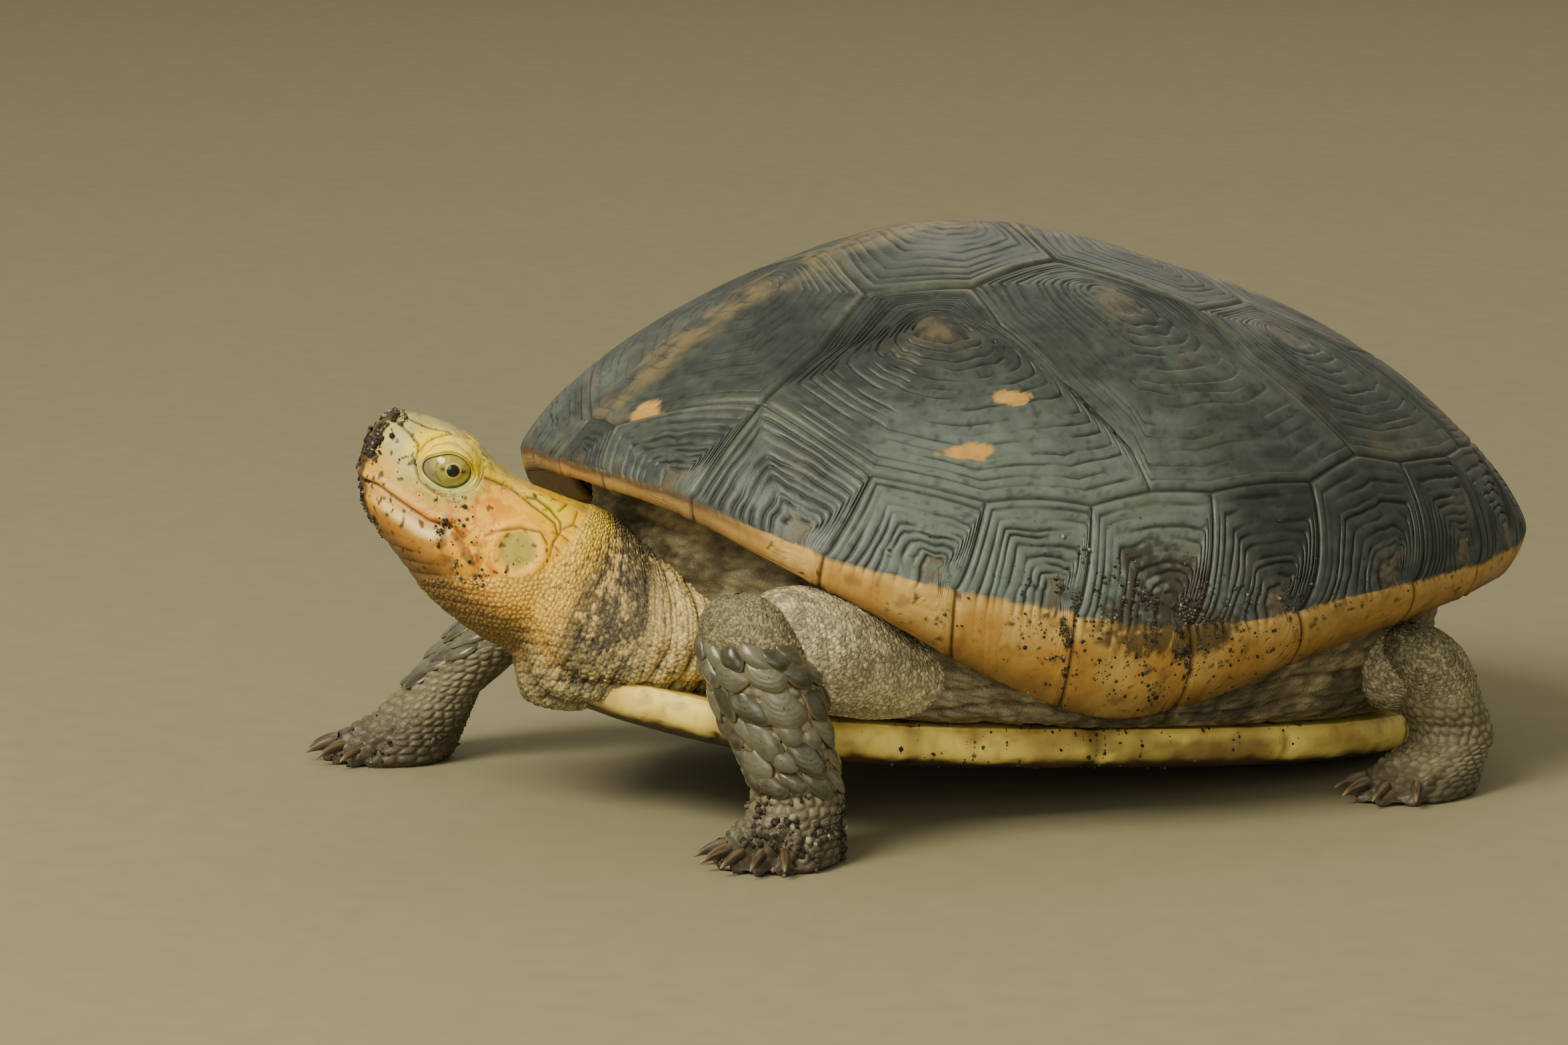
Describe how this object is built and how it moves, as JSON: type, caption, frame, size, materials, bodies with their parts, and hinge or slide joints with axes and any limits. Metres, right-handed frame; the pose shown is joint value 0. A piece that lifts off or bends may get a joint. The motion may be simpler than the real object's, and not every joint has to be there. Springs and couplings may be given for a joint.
{
  "type": "yellow-margined box turtle",
  "caption": "Life-size still model of a yellow-margined box turtle standing on all four feet, head raised and turned to its right.",
  "frame": {"origin": "middle of the box round the turtle, on the floor it stands on", "axes": "head towards -Y, the turtle's left side towards +X, up +Z"},
  "size_m": [0.1244, 0.1879, 0.0876],
  "materials": {
    "carapace_horn": "dark slate horn with fine growth grooves, soft sheen, ochre-yellow under the rim",
    "plastron_horn": "black-brown horn with a cream-yellow edge",
    "head_skin": "smooth moist skin, olive crown, peach jaws, yellow stripe behind the eye",
    "body_skin": "granular scaly skin, ochre to brown, loose folds",
    "leg_skin": "olive-brown scaly skin with large glossy plates on the forearms",
    "claw_horn": "dark brown horn, paler tips",
    "eye": "wet, yellow-green iris with a round black pupil"
  },
  "bodies": {
    "root": {"carapace": "carapace_horn", "plastron_front": "plastron_horn", "plastron_rear": "plastron_horn", "trunk": "body_skin", "neck": "body_skin", "head": "head_skin", "lower_jaw": "head_skin", "tail": "body_skin", "eye_left": "eye", "upper_arm_left": "leg_skin", "forearm_left": "leg_skin", "forefoot_left": "leg_skin", "thigh_left": "leg_skin", "shank_left": "leg_skin", "hindfoot_left": "leg_skin", "foreclaw_left_1": "claw_horn", "foreclaw_left_2": "claw_horn", "foreclaw_left_3": "claw_horn", "foreclaw_left_4": "claw_horn", "foreclaw_left_5": "claw_horn", "hindclaw_left_1": "claw_horn", "hindclaw_left_2": "claw_horn", "hindclaw_left_3": "claw_horn", "hindclaw_left_4": "claw_horn", "eye_right": "eye", "upper_arm_right": "leg_skin", "forearm_right": "leg_skin", "forefoot_right": "leg_skin", "thigh_right": "leg_skin", "shank_right": "leg_skin", "hindfoot_right": "leg_skin", "foreclaw_right_1": "claw_horn", "foreclaw_right_2": "claw_horn", "foreclaw_right_3": "claw_horn", "foreclaw_right_4": "claw_horn", "foreclaw_right_5": "claw_horn", "hindclaw_right_1": "claw_horn", "hindclaw_right_2": "claw_horn", "hindclaw_right_3": "claw_horn", "hindclaw_right_4": "claw_horn"}
  },
  "joints": []
}
